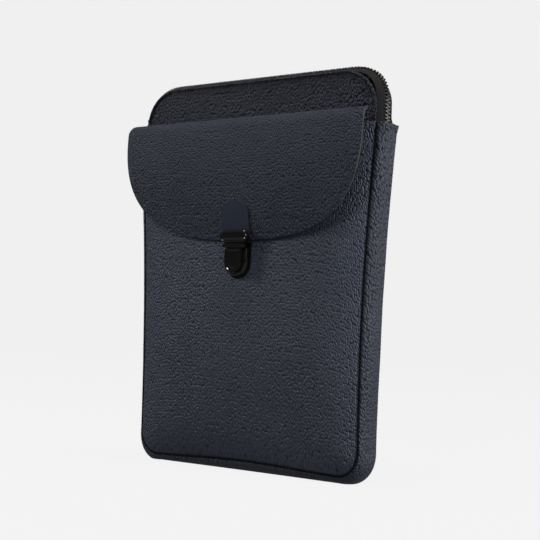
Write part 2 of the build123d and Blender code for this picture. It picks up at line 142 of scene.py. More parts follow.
def finish(obj, material, body, slot, *replaced):
    """Gives a piece its material, its body and the CAD nodes it stands for."""
    materials = material if isinstance(material, (list, tuple)) else [material]
    for m in materials:
        obj.data.materials.append(m)
    if body:
        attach(obj, body)
    if replaced:
        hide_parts(*replaced)
    return obj


def wobble(x, y, z, size, seed):
    """Smooth noise between about -1 and 1, with features of a given size; each seed has its own pattern."""
    return noise.noise(Vector((x / size + 17.3 * seed, y / size - 5.1 * seed, z / size + 3.7 * seed)))


def spread(low, high, count):
    return np.linspace(low, high, count)


def edge_spread(count, sharpness=0.55):
    """Fractions from -1 to 1, packed towards both ends, where a panel turns into its seams."""
    u = np.linspace(-1, 1, count)
    return (1 - sharpness) * u + sharpness * np.sin(u * pi / 2)


# ---- Outlines of the body ----
def seam_half(z):
    """Half the width between the side seams at a height. The sides draw in at mid-height."""
    up = (z - SEAM_FOOT) / (MOUTH - SEAM_FOOT)
    return FOOT_HALF + (MOUTH_HALF - FOOT_HALF) * up - WAIST * sin(pi * up)


def main_half(z):
    """Half the width of the main front panel, which lies inside the gusset up to the mouth."""
    return min(MAIN_HALF, seam_half(z) - (MAIN_FOOT - SEAM_FOOT))


def back_half(z):
    """Half the width of the back panel: the seams' width below the mouth, the main panels' above it."""
    if z <= MOUTH:
        return seam_half(z)
    step = min(1, (z - MOUTH) / (6 * MM))
    return MOUTH_HALF + (MAIN_HALF - MOUTH_HALF) * step


def foot_bow(x, z):
    """Rise of the foot's seams: the corners sag below the middle."""
    return 1.5 * MM * cos(pi * x / FOOT_HALF) * np.exp(-(z - SEAM_FOOT) / (30 * MM))


def corner_cut(depth, radius):
    """How far an outline with a round corner has drawn in, at a depth above the corner's outer edge."""
    if depth >= radius:
        return 0
    return radius - sqrt(max(0, radius**2 - (radius - depth) ** 2))


def panel_rows(foot, top, top_radius, straight_rows):
    """Heights of a panel's rows: even steps of angle round its corners, even steps between them."""
    corner = [1 - cos(a) for a in spread(0, pi / 2, 16)]
    low = [foot + FOOT_RADIUS * c for c in corner]
    if not top_radius:
        hem_foot = top - HEM_HEIGHT
        wall = list(spread(low[-1], hem_foot, straight_rows))
        return low[:-1] + wall[:-1] + list(spread(hem_foot, top, HEM_ROWS))
    high = [top - top_radius * c for c in reversed(corner)]
    return low[:-1] + list(spread(low[-1], high[0], straight_rows)) + high[1:]


def edge_distance(x, z, half, foot, top, top_radius):
    """Distance inwards from a panel's outline, which has round corners at its foot and perhaps its top."""
    side = half - abs(x)
    low = z - foot
    if side < FOOT_RADIUS and low < FOOT_RADIUS:
        return FOOT_RADIUS - hypot(FOOT_RADIUS - side, FOOT_RADIUS - low)
    if not top_radius:
        return min(side, low)
    high = top - z
    if side < top_radius and high < top_radius:
        return top_radius - hypot(top_radius - side, top_radius - high)
    return min(side, low, high)


def rolled(distance, radius):
    """Depth by which a sheet has turned in, near an edge that rolls over with a radius."""
    if distance >= radius:
        return 0
    return radius - sqrt(max(0, radius**2 - (radius - distance) ** 2))


def panel_grid(half, foot, top, top_radius, columns, straight_rows, depth):
    """Points of a panel: depth(x, z, distance) is Y at a point and its distance from the outline."""
    rows = []
    for z in panel_rows(foot, top, top_radius, straight_rows):
        cut = corner_cut(z - foot, FOOT_RADIUS)
        if top_radius:
            cut += corner_cut(top - z, top_radius)
        width = half(z) - cut
        row = []
        for u in edge_spread(columns):
            x = u * width
            distance = max(0, edge_distance(x, z, half(z), foot, top, top_radius))
            row.append((x, depth(x, z, distance), z + foot_bow(x, z)))
        rows.append(row)
    return np.array(rows)


# ---- Leather shell ----
POCKET_CROWN = 9 * MM
RIM_STITCH = 3.0 * MM
HEM_STITCH = 3.2 * MM
HEM_HEIGHT = 6 * MM
HEM_ROWS = 18
EDGE_LIFT = 5 * MM
EDGE_REACH = 9 * MM
RIPPLE_PITCH = 2.9 * MM
RIPPLE_HEIGHT = 0.17 * MM
EDGE_ROLL = 1.7 * MM


def pocket_fullness(x, z):
    """How far the filled pocket stands in front of its seams, without its soft edge."""
    across = 1 - min(1, abs(x / seam_half(z))) ** 3.2
    up = (z - SEAM_FOOT) / (MOUTH - SEAM_FOOT)
    return POCKET_CROWN * across * (1 - (1 - up) ** 3) * (1 - 0.5 * up**4)


def crown(x, z):
    """Share of a padded panel's fullness at a place: most in its middle, none at its sides and ends."""
    middle = (z - BODY_MIDDLE) / BODY_MIDDLE
    return (1 - (x / MOUTH_HALF) ** 4) * (1 - middle**4)


def seam_pucker(x, z, distance, seed):
    """Short ripples across a seam, one for about every stitch, where its thread draws the leather in."""
    along = z if abs(x) > 0.6 * MOUTH_HALF else x
    phase = 2 * pi * along / RIPPLE_PITCH + 2.6 * wobble(along, 0.6 * distance, 0, 13 * MM, seed)
    swell = 0.55 + 0.7 * wobble(along, 0, 0, 19 * MM, seed + 1)
    ripple = swell * sin(phase) + 0.8 * wobble(along, 0.5 * distance, 0, 5 * MM, seed + 2)
    upper = 0.45 + 0.55 * min(1, max(0, z / MOUTH))
    return RIPPLE_HEIGHT * upper * ripple * np.exp(-distance / (8 * MM)) * min(1, distance / MM)


def pocket_face(x, z, distance):
    """Y of the pocket's leather: soft beside its seams, full in its middle."""
    lift = EDGE_LIFT * (1 - np.exp(-distance / EDGE_REACH))
    soft = 0.7 * MM * wobble(x, 0, z, 46 * MM, 2) * min(1, distance / (20 * MM))
    y = -SEAM_PLANE - pocket_fullness(x, z) - lift - soft - seam_pucker(x, z, distance, 3)
    return y + rolled(distance, EDGE_ROLL)


def pocket_surface(x, z):
    distance = max(0, edge_distance(x, z, seam_half(z), SEAM_FOOT, MOUTH, 0))
    return pocket_face(x, z, distance)


def hem_profile(below):
    """Height of a turned hem under the mouth, with the groove its stitches pull in."""
    turned = 0.55 * MM / (1 + np.exp(min(50, (below - 4.4 * MM) / (0.25 * MM))))
    return turned - 0.6 * MM * np.exp(-(((below - HEM_STITCH) / (0.55 * MM)) ** 2))


def leather_panel(name, points, material, node, flip=False):
    obj = grid_object(name, points, flip=flip)
    thicken(obj, LEATHER, 0.5 * MM)
    return finish(obj, material, "case", "pebbled_leather", node)


def build_pocket_panel(material):
    """Front pocket panel, with the turned hem of its mouth."""
    def face(x, z, distance):
        return pocket_face(x, z, distance) - hem_profile(MOUTH - z)

    points = panel_grid(seam_half, SEAM_FOOT, MOUTH, 0, 121, 350, face)
    return leather_panel("pocket_leather", points, material, "pocket_front_panel")


def rim_profile(distance):
    """Height of a turned and stitched edge: a round welt, a stitched groove, then the padded field."""
    welt = 0.8 * MM / (1 + np.exp((distance - 2.2 * MM) / (0.2 * MM))) - rolled(distance, 1.1 * MM)
    groove = -0.9 * MM * np.exp(-(((distance - RIM_STITCH) / (0.75 * MM)) ** 2))
    field = 0.3 * MM * (1 - np.exp(-max(0, distance - RIM_STITCH) / (5 * MM)))
    return welt + groove + field


def corner_creases(x, z):
    """A few slanting creases in the upper panel, beside the ends of the flap's fold."""
    width = 1.3 * MM
    length = 6.5 * MM
    total = 0
    for side, offset in ((1, 0), (1, 5.2), (1, 10.4), (1, 15.2), (-1, 2), (-1, 8)):
        right = (x - side * (MAIN_HALF - 10 * MM)) * side
        up = z - (MOUTH + 6 * MM + offset * MM)
        along = (right - up) / sqrt(2)
        across = (right + up) / sqrt(2)
        total += np.exp(-((across / width) ** 2) - (along / length) ** 2)
    return total


def main_face(x, z, distance):
    """Y of the upper panel: nearly flat, so that the open flap can lie against it."""
    full = 0.2 * MM * crown(x, z)
    soft = 0.1 * MM * wobble(x, 0, z, 30 * MM, 5) * min(1, distance / (15 * MM))
    pucker = 0.4 * seam_pucker(x, z, max(0, distance - RIM_STITCH), 7)
    crease = 0.95 * MM * corner_creases(x, z)
    return MAIN_FACE - full - rim_profile(distance) - soft - pucker + crease


def build_main_panel(material):
    points = panel_grid(main_half, MAIN_FOOT, MAIN_TOP, TOP_RADIUS, 121, 170, main_face)
    return leather_panel("main_leather", points, material, "main_front_panel")


def back_face(x, z, distance):
    """The back panel: rolled into the gusset's seam up to the mouth, turned and stitched above it."""
    full = 1.6 * MM * crown(x, z)
    soft = 0.5 * MM * wobble(x, 1, z, 55 * MM, 11) * min(1, distance / (20 * MM))
    seam = EDGE_LIFT * (1 - np.exp(-distance / EDGE_REACH)) - rolled(distance, EDGE_ROLL)
    seam += seam_pucker(x, z, distance, 13)
    above = 1 / (1 + np.exp(-(z - MOUTH) / (2 * MM)))
    return SEAM_PLANE + full + soft + (1 - above) * seam + above * rim_profile(distance)


def build_back_panel(material):
    points = panel_grid(back_half, SEAM_FOOT, MAIN_TOP, BACK_TOP_RADIUS, 121, 180, back_face)
    return leather_panel("back_leather", points, material, "back_panel", flip=True)


def seam_line(step):
    """Points and outward directions, in X and Z, from the right end of the mouth round to the left."""
    corner_z = SEAM_FOOT + FOOT_RADIUS
    centre_x = seam_half(corner_z) - FOOT_RADIUS
    heights = list(spread(MOUTH, MOUTH - HEM_HEIGHT, HEM_ROWS))
    heights += list(np.arange(MOUTH - HEM_HEIGHT, corner_z, -step)[1:])
    right = [(seam_half(z), z) for z in heights]
    for a in np.arange(0, pi / 2, step / FOOT_RADIUS):
        right.append((centre_x + FOOT_RADIUS * cos(a), corner_z - FOOT_RADIUS * sin(a)))
    right += [(x, SEAM_FOOT) for x in np.arange(centre_x, 0, -step)]
    points = np.array(right + [(0, SEAM_FOOT)] + [(-x, z) for x, z in reversed(right)])
    tangents = np.gradient(points, axis=0)
    tangents /= np.linalg.norm(tangents, axis=1)[:, None]
    return [(x, z, -dz, dx) for (x, z), (dx, dz) in zip(points, tangents)]


def gusset_height(y):
    """Height of the gusset over its seams, as a share: full along its middle, rolled at both."""
    across = min(1, abs(y) / GUSSET_HALF)
    return (1 - across**2.8) ** 0.55


def gusset_bulge(x, z, nx, nz):
    """How far the gusset stands out: least down its sides, most round the corners of the foot."""
    side = 3.9 * MM + 1.1 * MM * min(1, z / MOUTH) - 3.0 * MM * np.exp(-((z / (60 * MM)) ** 2))
    foot = SEAM_FOOT + foot_bow(x, z)
    corner = (4.2 * MM if x < 0 else 2.4 * MM) * abs(2 * nx * nz)
    return side * nx**2 + foot * nz**2 + corner


def gusset_skin(x, y, z, nx, nz):
    """Height of the gusset's leather over its seam plane, with its hem, long fold and puckers."""
    inner = GUSSET_HALF - abs(y)
    fade = min(1, inner / (5 * MM))
    standing = min(1, max(0, (z - SEAM_FOOT) / (30 * MM)))
    below = MOUTH - z
    hem = 0.6 * MM * np.exp(-below / (5 * MM))
    if abs(nx) > 0.9:
        hem += hem_profile(below)
    soft = 0.6 * MM * wobble(x, y, z, 40 * MM, 17) * fade * standing
    crease_y = 0.42 * GUSSET_HALF + 1.5 * MM * wobble(x, 0, z, 60 * MM, 19)
    upper = np.exp(-(((z - 0.8 * MOUTH) / (0.34 * MOUTH)) ** 2))
    crease = 1.9 * MM * upper * np.exp(-(((y - crease_y) / (2.6 * MM)) ** 2)) * nx**2
    along = z if abs(nz) < 0.7 else x
    phase = 2 * pi * along / RIPPLE_PITCH + 2.6 * wobble(along, y, x, 13 * MM, 23)
    ripple = (0.6 + 0.7 * wobble(along, y, 0, 19 * MM, 24)) * sin(phase)
    ripple += 0.8 * wobble(along, 0.4 * y, 0, 5 * MM, 25)
    near = np.exp(-inner / (6 * MM)) * min(1, inner / MM) * (0.4 + 0.6 * standing)
    height = gusset_bulge(x, z, nx, nz) * gusset_height(y) + hem * min(1, inner / (1.5 * MM))
    return height + soft - crease + RIPPLE_HEIGHT * ripple * near


def build_gusset(material):
    """The strip of leather down one side, under the foot and up the other side. Its thickness goes on
    outside the skin's heights."""
    across = GUSSET_HALF * edge_spread(45, 0.75)
    rows = []
    for x, z, nx, nz in seam_line(0.75 * MM):
        row = []
        for y in across:
            height = gusset_skin(x, y, z, nx, nz)
            low = z + foot_bow(x, z) + nz * height
            row.append((x + nx * height, y, max(low, gusset_low.z)))
        rows.append(row)
    obj = grid_object("gusset_leather", np.array(rows))
    thicken(obj, LEATHER, 0.45 * MM)
    return finish(obj, material, "case", "pebbled_leather", "gusset")


# ---- Flap ----
def flap_front_y(z, depth):
    """Y down the flap's front at a height, at a depth behind its outer face."""
    fold_radius = FOLD_RADIUS + LEATHER / 2 - depth
    belly_radius = BELLY_RADIUS + LEATHER / 2 - depth
    contact = BELLY_Z + (FOLD_Z - BELLY_Z) * BELLY_RADIUS / (BELLY_RADIUS - FOLD_RADIUS)
    if z > contact:
        return FOLD_Y - sqrt(max(0, fold_radius**2 - (z - FOLD_Z) ** 2))
    return BELLY_CENTRE_Y - sqrt(belly_radius**2 - (z - BELLY_Z) ** 2)


def squared_disc(s, t):
    """A point of the square -1 to 1 mapped into the squared half-ellipse of the flap, with even cells."""
    a = s * sqrt(1 - t * t / 2)
    b = t * sqrt(1 - s * s / 2)
    size = hypot(a, b)
    if size < 1e-9:
        return 0, 0
    p = FLAP_SQUARENESS
    stretch = size / (abs(a) ** p + abs(b) ** p) ** (1 / p)
    return a * stretch, b * stretch


def flap_wave(x, z):
    """Slow waves in the hanging leather, strongest at its free sides."""
    hang = min(1, max(0, (FLAP_SHOULDER - z) / (40 * MM)))
    side = min(1, abs(x) / FLAP_HALF)
    return hang * (0.1 * MM + 0.2 * MM * side**3) * wobble(x, 0, z, 60 * MM, 29)


def flap_rows(depth, inset, from_angle, columns, down_rows):
    """Rows of the flap's sheet, from an angle round the fold down to the tip of the D."""
    half = FLAP_HALF - inset
    drop = FLAP_SHOULDER - FLAP_TIP - inset
    radius = FOLD_RADIUS + LEATHER / 2 - depth
    shoulder_angle = pi - asin((FLAP_SHOULDER - FOLD_Z) / radius)
    across = np.linspace(-1, 1, columns)
    rows = []
    for a in spread(from_angle, shoulder_angle, 12)[:-1]:
        drawn_in = FOLD_TAPER * max(0, 1 - (a - pi / 2) / radians(75)) ** 1.4
        width = half - drawn_in
        rows.append([(width * s, FOLD_Y + radius * cos(a), FOLD_Z + radius * sin(a)) for s in across])
    for t in spread(0, 1, down_rows):
        row = []
        for s in across:
            a, b = squared_disc(s, t)
            x = half * a
            z = FLAP_SHOULDER - drop * b
            row.append((x, flap_front_y(z, depth) - flap_wave(x, z), z))
        rows.append(row)
    return np.array(rows)


def build_flap(leather, edge):
    """The flap from the crest of its fold, round the fold's front and down its front."""
    obj = grid_object("flap_leather", flap_rows(0, 0, pi / 2, 101, 80), flip=True)
    thicken(obj, FLAP_THICKNESS, 0.35 * MM, rim_slot=1)
    finish(obj, [leather, edge], None, "pebbled_leather", "flap_panel", "flap_fold")
    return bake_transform(obj)


def build_flap_root(leather, edge):
    """The flap from its crest, round the back of the fold and down behind the pocket's mouth.
    Its ends are cut back, so that only the front half of the fold shows from the side."""
    radius = FOLD_RADIUS + LEATHER / 2
    across = np.linspace(-1, 1, 101)
    rows = []
    for drop in spread(14 * MM, 0, 8):
        rows.append([(ROOT_HALF * s, ROOT_Y + LEATHER / 2, FOLD_Z - drop) for s in across])
    for a in spread(0, pi / 2, 14)[1:]:
        half = ROOT_HALF + (FLAP_HALF - FOLD_TAPER - ROOT_HALF) * (1 - cos(a)) ** 0.6
        rows.append([(half * s, FOLD_Y + radius * cos(a), FOLD_Z + radius * sin(a)) for s in across])
    obj = grid_object("flap_root_leather", np.array(rows), flip=True)
    thicken(obj, LEATHER, 0.35 * MM, rim_slot=1)
    finish(obj, [leather, edge], None, "pebbled_leather", "flap_root_strip")
    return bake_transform(obj)


def build_flap_suede(material):
    """Suede that backs the flap's front."""
    depth = FLAP_THICKNESS + 0.05 * MM
    rows = flap_rows(depth, 1.2 * MM, radians(150), 81, 60)
    obj = grid_object("flap_suede", rows, flip=True)
    thicken(obj, 0.4 * MM, 0.1 * MM)
    finish(obj, material, None, "suede", "flap_lining")
    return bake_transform(obj)


def build_tab(leather, edge):
    """Smooth tab with a round top, glued to the flap's front."""
    half = tab_high.x
    foot = tab_low.z
    top = tab_high.z - 1.2 * MM
    centre = top - half
    lift = 1.0 * MM
    rows = []
    heights = list(spread(foot, centre, 12))[:-1] + [centre + half * sin(a) for a in spread(0, pi / 2, 16)]
    for z in heights:
        width = half if z <= centre else sqrt(max(0, half**2 - (z - centre) ** 2))
        width = max(width, 0.4 * MM)
        row = []
        for s in edge_spread(25, 0.7):
            x = s * width
            y = flap_front_y(z, 0) - flap_wave(x, z) - lift
            row.append((x, y, z))
        rows.append(row)
    obj = grid_object("tab_leather", np.array(rows))
    thicken(obj, lift, 0.32 * MM, rim_slot=1)
    return finish(obj, [leather, edge], "flap", "smooth_leather", "lock_tab")


# ---- Inside ----
def inner_sheet(name, shape, y_face, thickness, look, node, back=False):
    """Padding or lining: a sheet inside the walls, slightly uneven."""
    sign = 1 if back else -1

    def face(x, z, distance):
        uneven = 0.12 * MM * wobble(x, y_face, z, 14 * MM, 31)
        return y_face + sign * 1.4 * MM * crown(x, z) + uneven

    obj = grid_object(name, panel_grid(*shape, 49, 70, face), flip=back)
    thicken(obj, thickness, 0.15 * MM)
    material, slot = look
    return finish(obj, material, "case", slot, node)


def inset_half(half, inset):
    return lambda z: half(z) - inset


def build_inside(cloth, foam):
    """Padding and lining of the main compartment, front and back."""
    inset = 4 * MM
    pad = 2.4 * MM
    lining = 0.4 * MM
    gap = 0.2 * MM
    shape = (inset_half(main_half, inset), MAIN_FOOT + inset, MAIN_TOP - inset, TOP_RADIUS - inset)
    wall = MAIN_FACE + LEATHER + gap
    back_wall = SEAM_PLANE - LEATHER - gap
    foam_look = (foam, "foam")
    cloth_look = (cloth, "lining_cloth")
    inner_sheet("front_foam", shape, wall, pad, foam_look, "front_padding")
    inner_sheet("front_cloth", shape, wall + pad + gap, lining, cloth_look, "front_lining")
    inner_sheet("back_foam", shape, back_wall, pad, foam_look, "back_padding", back=True)
    inner_sheet("back_cloth", shape, back_wall - pad - gap, lining, cloth_look, "back_lining", back=True)


def build_pocket_lining(cloth):
    """Cloth that lines the pocket panel, up to its turned mouth."""
    def face(x, z, distance):
        return pocket_surface(x, z) + LEATHER + 0.15 * MM

    inset = 3 * MM
    points = panel_grid(inset_half(seam_half, inset), SEAM_FOOT + inset, MOUTH - MM, 0, 81, 110, face)
    obj = grid_object("pocket_cloth", points)
    thicken(obj, 0.4 * MM, 0.1 * MM)
    return finish(obj, cloth, "case", "lining_cloth", "pocket_lining")


# ---- Stitches ----
def stitch_mesh(name, path, pitch, length, radius, sink):
    """Rows of short thread capsules. Path points are (position, outward normal) pairs, closely spaced."""
    positions = [Vector(p) for p, _ in path]
    lengths = [0]
    for a, b in zip(positions, positions[1:]):
        lengths.append(lengths[-1] + (b - a).length)

    def at(distance):
        i = min(max(1, int(np.searchsorted(lengths, distance))), len(path) - 1)
        span = lengths[i] - lengths[i - 1] or 1
        t = (distance - lengths[i - 1]) / span
        return positions[i - 1].lerp(positions[i], t), Vector(path[i][1]).normalized()

    sides = 6
    profile = [(-0.5, 0.35, -1.3), (-0.32, 0.85, -0.25), (0, 1, 0), (0.32, 0.85, -0.25), (0.5, 0.35, -1.3)]
    vertices, faces = [], []
    for k in range(int(lengths[-1] / pitch)):
        middle = (k + 0.5) * pitch
        centre, normal = at(middle)
        ahead, _ = at(middle + 0.2 * pitch)
        forward = (ahead - centre).normalized()
        side = forward.cross(normal).normalized()
        start = len(vertices)
        for along, fat, dip in profile:
            ring = centre + forward * (along * length) + normal * (radius * dip - sink)
            for s in range(sides):
                angle = 2 * pi * s / sides
                vertices.append(ring + (side * cos(angle) + normal * sin(angle)) * radius * fat)
        rings = len(profile)
        faces += [tuple(start + i for i in q) for q in grid_faces(rings, sides, wrap=True)]
        faces.append(tuple(start + i for i in reversed(range(sides))))
        faces.append(tuple(start + (rings - 1) * sides + i for i in range(sides)))
    return new_object(name, vertices, faces)


def outline_path(half, foot, top, top_radius, inset, low, y_of, outward):
    """Path just inside a panel's round top, from a height on its left side to the same on its right."""
    straight = spread(low, top - top_radius, 60)
    arc = spread(0, pi / 2, 40)[1:]
    radius = top_radius - inset
    left = [(-(half(z) - inset), z) for z in straight]
    centre_x = half(top) - top_radius
    left += [(-centre_x - radius * cos(a), top - top_radius + radius * sin(a)) for a in arc]
    right = [(-x, z) for x, z in reversed(left)]
    path = []
    for x, z in left + right:
        distance = max(0, edge_distance(x, z, half(z), foot, top, top_radius))
        path.append(((x, y_of(x, z, distance), z), (0, outward, 0)))
    return path


def seam_path(side):
    """Path along the front or back seam of the gusset, facing out of the groove between the leathers."""
    path = []
    for x, z, nx, nz in seam_line(1.5 * MM):
        path.append(((x, side * SEAM_PLANE, z + foot_bow(x, z)), (nx, side, nz)))
    return path


def build_stitches(thread):
    """Stitches of the rims, the mouth, the gusset's hems and its seams: pitch, length, radius, sink. The
    seams' stitches join into a thick black cord, which is thread and also painted shade for the groove
    between the leathers.
    """
    rim = (3.2 * MM, 2.7 * MM, 0.36 * MM, 0.05 * MM)
    # The seams' capsules are thick and longer than their pitch, so they join into a continuous black cord:
    # thread, and painted shade for the dark groove between the pocket or back panel and the gusset.
    seam = (3.0 * MM, 4.4 * MM, 0.8 * MM, 0.0 * MM)
    low = MOUTH - 10 * MM
    main_rim = outline_path(main_half, MAIN_FOOT, MAIN_TOP, TOP_RADIUS, RIM_STITCH, low, main_face, -1)
    back_rim = outline_path(back_half, SEAM_FOOT, MAIN_TOP, BACK_TOP_RADIUS, RIM_STITCH, MOUTH + 8 * MM,
                            back_face, 1)
    z = MOUTH - HEM_STITCH
    mouth = []
    span = seam_half(z) - 4 * MM
    for x in spread(-span, span, 160):
        mouth.append(((x, pocket_surface(x, z) - hem_profile(HEM_STITCH), z), (0, -1, 0)))
    rows = {
        "main_rim_stitches": (main_rim, rim, None),
        "back_rim_stitches": (back_rim, rim, None),
        "pocket_mouth_stitches": (mouth, rim, None),
        "front_seam_thread_and_painted_shade": (seam_path(-1), seam, "front_seam_thread"),
        "back_seam_thread_and_painted_shade": (seam_path(1), seam, "back_seam_thread"),
    }
    for side, name in ((1, "right"), (-1, "left")):
        hem = []
        for y in spread(-GUSSET_HALF + 1.5 * MM, GUSSET_HALF - 1.5 * MM, 30):
            x = side * seam_half(z)
            hem.append(((x + side * gusset_skin(x, y, z, side, 0), y, z), (side, 0, 0)))
        rows[f"gusset_hem_stitches_{name}"] = (hem, rim, None)
    for name, (path, sizes, replaced) in rows.items():
        obj = stitch_mesh(name, path, *sizes)
        finish(obj, thread, "case", "thread", *([replaced] if replaced else []))


# ---- Zip ----
TAPE_THICKNESS = 0.5 * MM
TOOTH_PITCH = 2.6 * MM
TEETH_TOP = 2.3 * MM
LEFT_FULLNESS = 1.6 * MM
RIGHT_FULLNESS = 3.2 * MM
ZIP_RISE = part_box("zip_teeth_back")[1].x - MAIN_HALF - TEETH_TOP


def zip_half(step, fullness):
    """Points and outward directions of the zip, from its left end to the middle of its top."""
    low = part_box("zip_tape_front")[0].z
    centre_x = MAIN_HALF - TOP_RADIUS
    centre_z = MAIN_TOP - TOP_RADIUS
    radius = TOP_RADIUS + ZIP_RISE
    line = []
    for z in np.arange(low, centre_z, step):
        line.append((-centre_x - radius, z, -1, 0))
    for a in np.arange(0, pi / 2, step / radius):
        r = radius + fullness * sin(2 * a) ** 2
        line.append((-centre_x - r * cos(a), centre_z + r * sin(a), -cos(a), sin(a)))
    for x in np.arange(-centre_x, 0, step):
        line.append((x, centre_z + radius, 0, 1))
    return line


def zip_line(step):
    """Points and outward directions round the zip, from its left end to its right."""
    right = [(-x, z, -nx, nz) for x, z, nx, nz in reversed(zip_half(step, RIGHT_FULLNESS))]
    return zip_half(step, LEFT_FULLNESS) + right


def build_zip_tape(side, panel_y, material, name, node):
    """One tape: level beside the teeth, with a corded edge, then falling to its panel. Its profile is
    (distance from the middle, height) in mm."""
    profile = [(0.9, 0.1), (1.0, 0.65), (1.5, 0.8), (2.1, 0.62), (3.0, 0.5), (4.2, 0.25), (6.0, -0.7),
               (8.0, -2.1)]
    reach = abs(panel_y) / MM
    profile = [(y, h) for y, h in profile if y < reach - 0.8] + [(reach, -3.0)]
    rows = []
    for x, z, nx, nz in zip_line(1.6 * MM):
        sag = 0.25 * MM * wobble(x, side, z, 20 * MM, 37)
        rows.append([(x + nx * (h * MM + sag), side * y * MM, z + nz * (h * MM + sag)) for y, h in profile])
    obj = grid_object(name, np.array(rows), flip=side > 0)
    thicken(obj, TAPE_THICKNESS, 0.12 * MM)
    return finish(obj, material, "case", "zip_tape", node)


def tooth_shape():
    """One tooth, in mm: a clamp over the tape's cord and a waisted head that reaches past the middle."""
    root = 1.3
    outline = [(-0.55, 0.5), (0.5, 0.32), (1.3, 0.5), (2.9, 0.62), (3.15, 0.5), (3.15, -0.5), (2.9, -0.62),
               (1.3, -0.5), (0.5, -0.32), (-0.55, -0.5)]
    heights = [(0.35, 0.86), (0.55, 1.0), (1.75, 1.0), (2.15, 0.72)]
    vertices = []
    for h, shrink in heights:
        for y, along in outline:
            vertices.append((root + (y - root) * shrink, along * (0.5 + 0.5 * shrink), h))
    count = len(outline)
    faces = grid_faces(len(heights), count, wrap=True)
    faces.append(tuple(reversed(range(count))))
    faces.append(tuple(range((len(heights) - 1) * count, len(heights) * count)))
    return vertices, faces


def build_teeth(side, phase, material, name, node):
    """One row of teeth round the zip; the phase shifts it by a share of the pitch."""
    shape, shape_faces = tooth_shape()
    line = zip_line(0.4 * MM)
    lengths = [0]
    for a, b in zip(line, line[1:]):
        lengths.append(lengths[-1] + hypot(b[0] - a[0], b[1] - a[1]))
    vertices, faces = [], []
    ends = 6 * MM
    count = int((lengths[-1] - 2 * ends) / TOOTH_PITCH)
    for k in range(count):
        i = min(int(np.searchsorted(lengths, ends + TOOTH_PITCH * (k + phase))), len(line) - 1)
        x, z, nx, nz = line[i]
        start = len(vertices)
        for y, along, h in shape:
            height = h * MM
            forward = along * MM
            vertices.append((x + nx * height + nz * forward, side * y * MM, z + nz * height - nx * forward))
        for face in shape_faces:
            order = face if side > 0 else face[::-1]
            faces.append(tuple(start + i for i in order))
    obj = new_object(name, vertices, faces)
    for polygon in obj.data.polygons:
        polygon.use_smooth = False
    return finish(obj, material, "case", "zip_metal", node)


# ---- Lock ----
def shield_outline(half, centre, top):
    """Shield seen from the front, drawn in by an inset: a straight top and a round lower end."""
    def points(inset):
        radius = half - inset
        arc = [(radius * cos(a), centre + radius * sin(a)) for a in spread(pi, 2 * pi, 33)]
        return [(-radius, top - inset)] + arc + [(radius, top - inset)]
    return points


def stadium_outline(half, centre, height):
    """Bar with round ends."""
    def points(inset):
        radius = height / 2 - inset
        reach = half - height / 2
        right = [(reach + radius * cos(a), centre + radius * sin(a)) for a in spread(-pi / 2, pi / 2, 17)]
        return right + [(-x, 2 * centre - z) for x, z in right]
    return points


def pointed_outline(half, centre, height, slope):
    """Flat bar with pointed ends."""
    def points(inset):
        up = height / 2 - inset
        tip = half - inset * 1.5
        right = [(tip - slope, centre - up), (tip, centre), (tip - slope, centre + up)]
        return right + [(-x, 2 * centre - z) for x, z in right]
    return points


def lofted(name, outline, rings, capped=True):
    """Solid face of a casting: outlines at (inset, Y) steps in mm, joined in turn and closed in front."""
    loops = [[(x, y * MM, z) for x, z in outline(inset * MM)] for inset, y in rings]
    count = len(loops[0])
    vertices = [point for loop in loops for point in loop]
    faces = grid_faces(len(loops), count, wrap=True)
    faces.append(tuple(reversed(range(count))))
    if capped:
        faces.append(tuple(range((len(loops) - 1) * count, len(loops) * count)))
    obj = new_object(name, vertices, faces)
    mesh = bmesh.new()
    mesh.from_mesh(obj.data)
    bmesh.ops.recalc_face_normals(mesh, faces=mesh.faces)
    mesh.to_mesh(obj.data)
    mesh.free()
    obj.data.set_sharp_from_angle(angle=radians(12))
    return obj


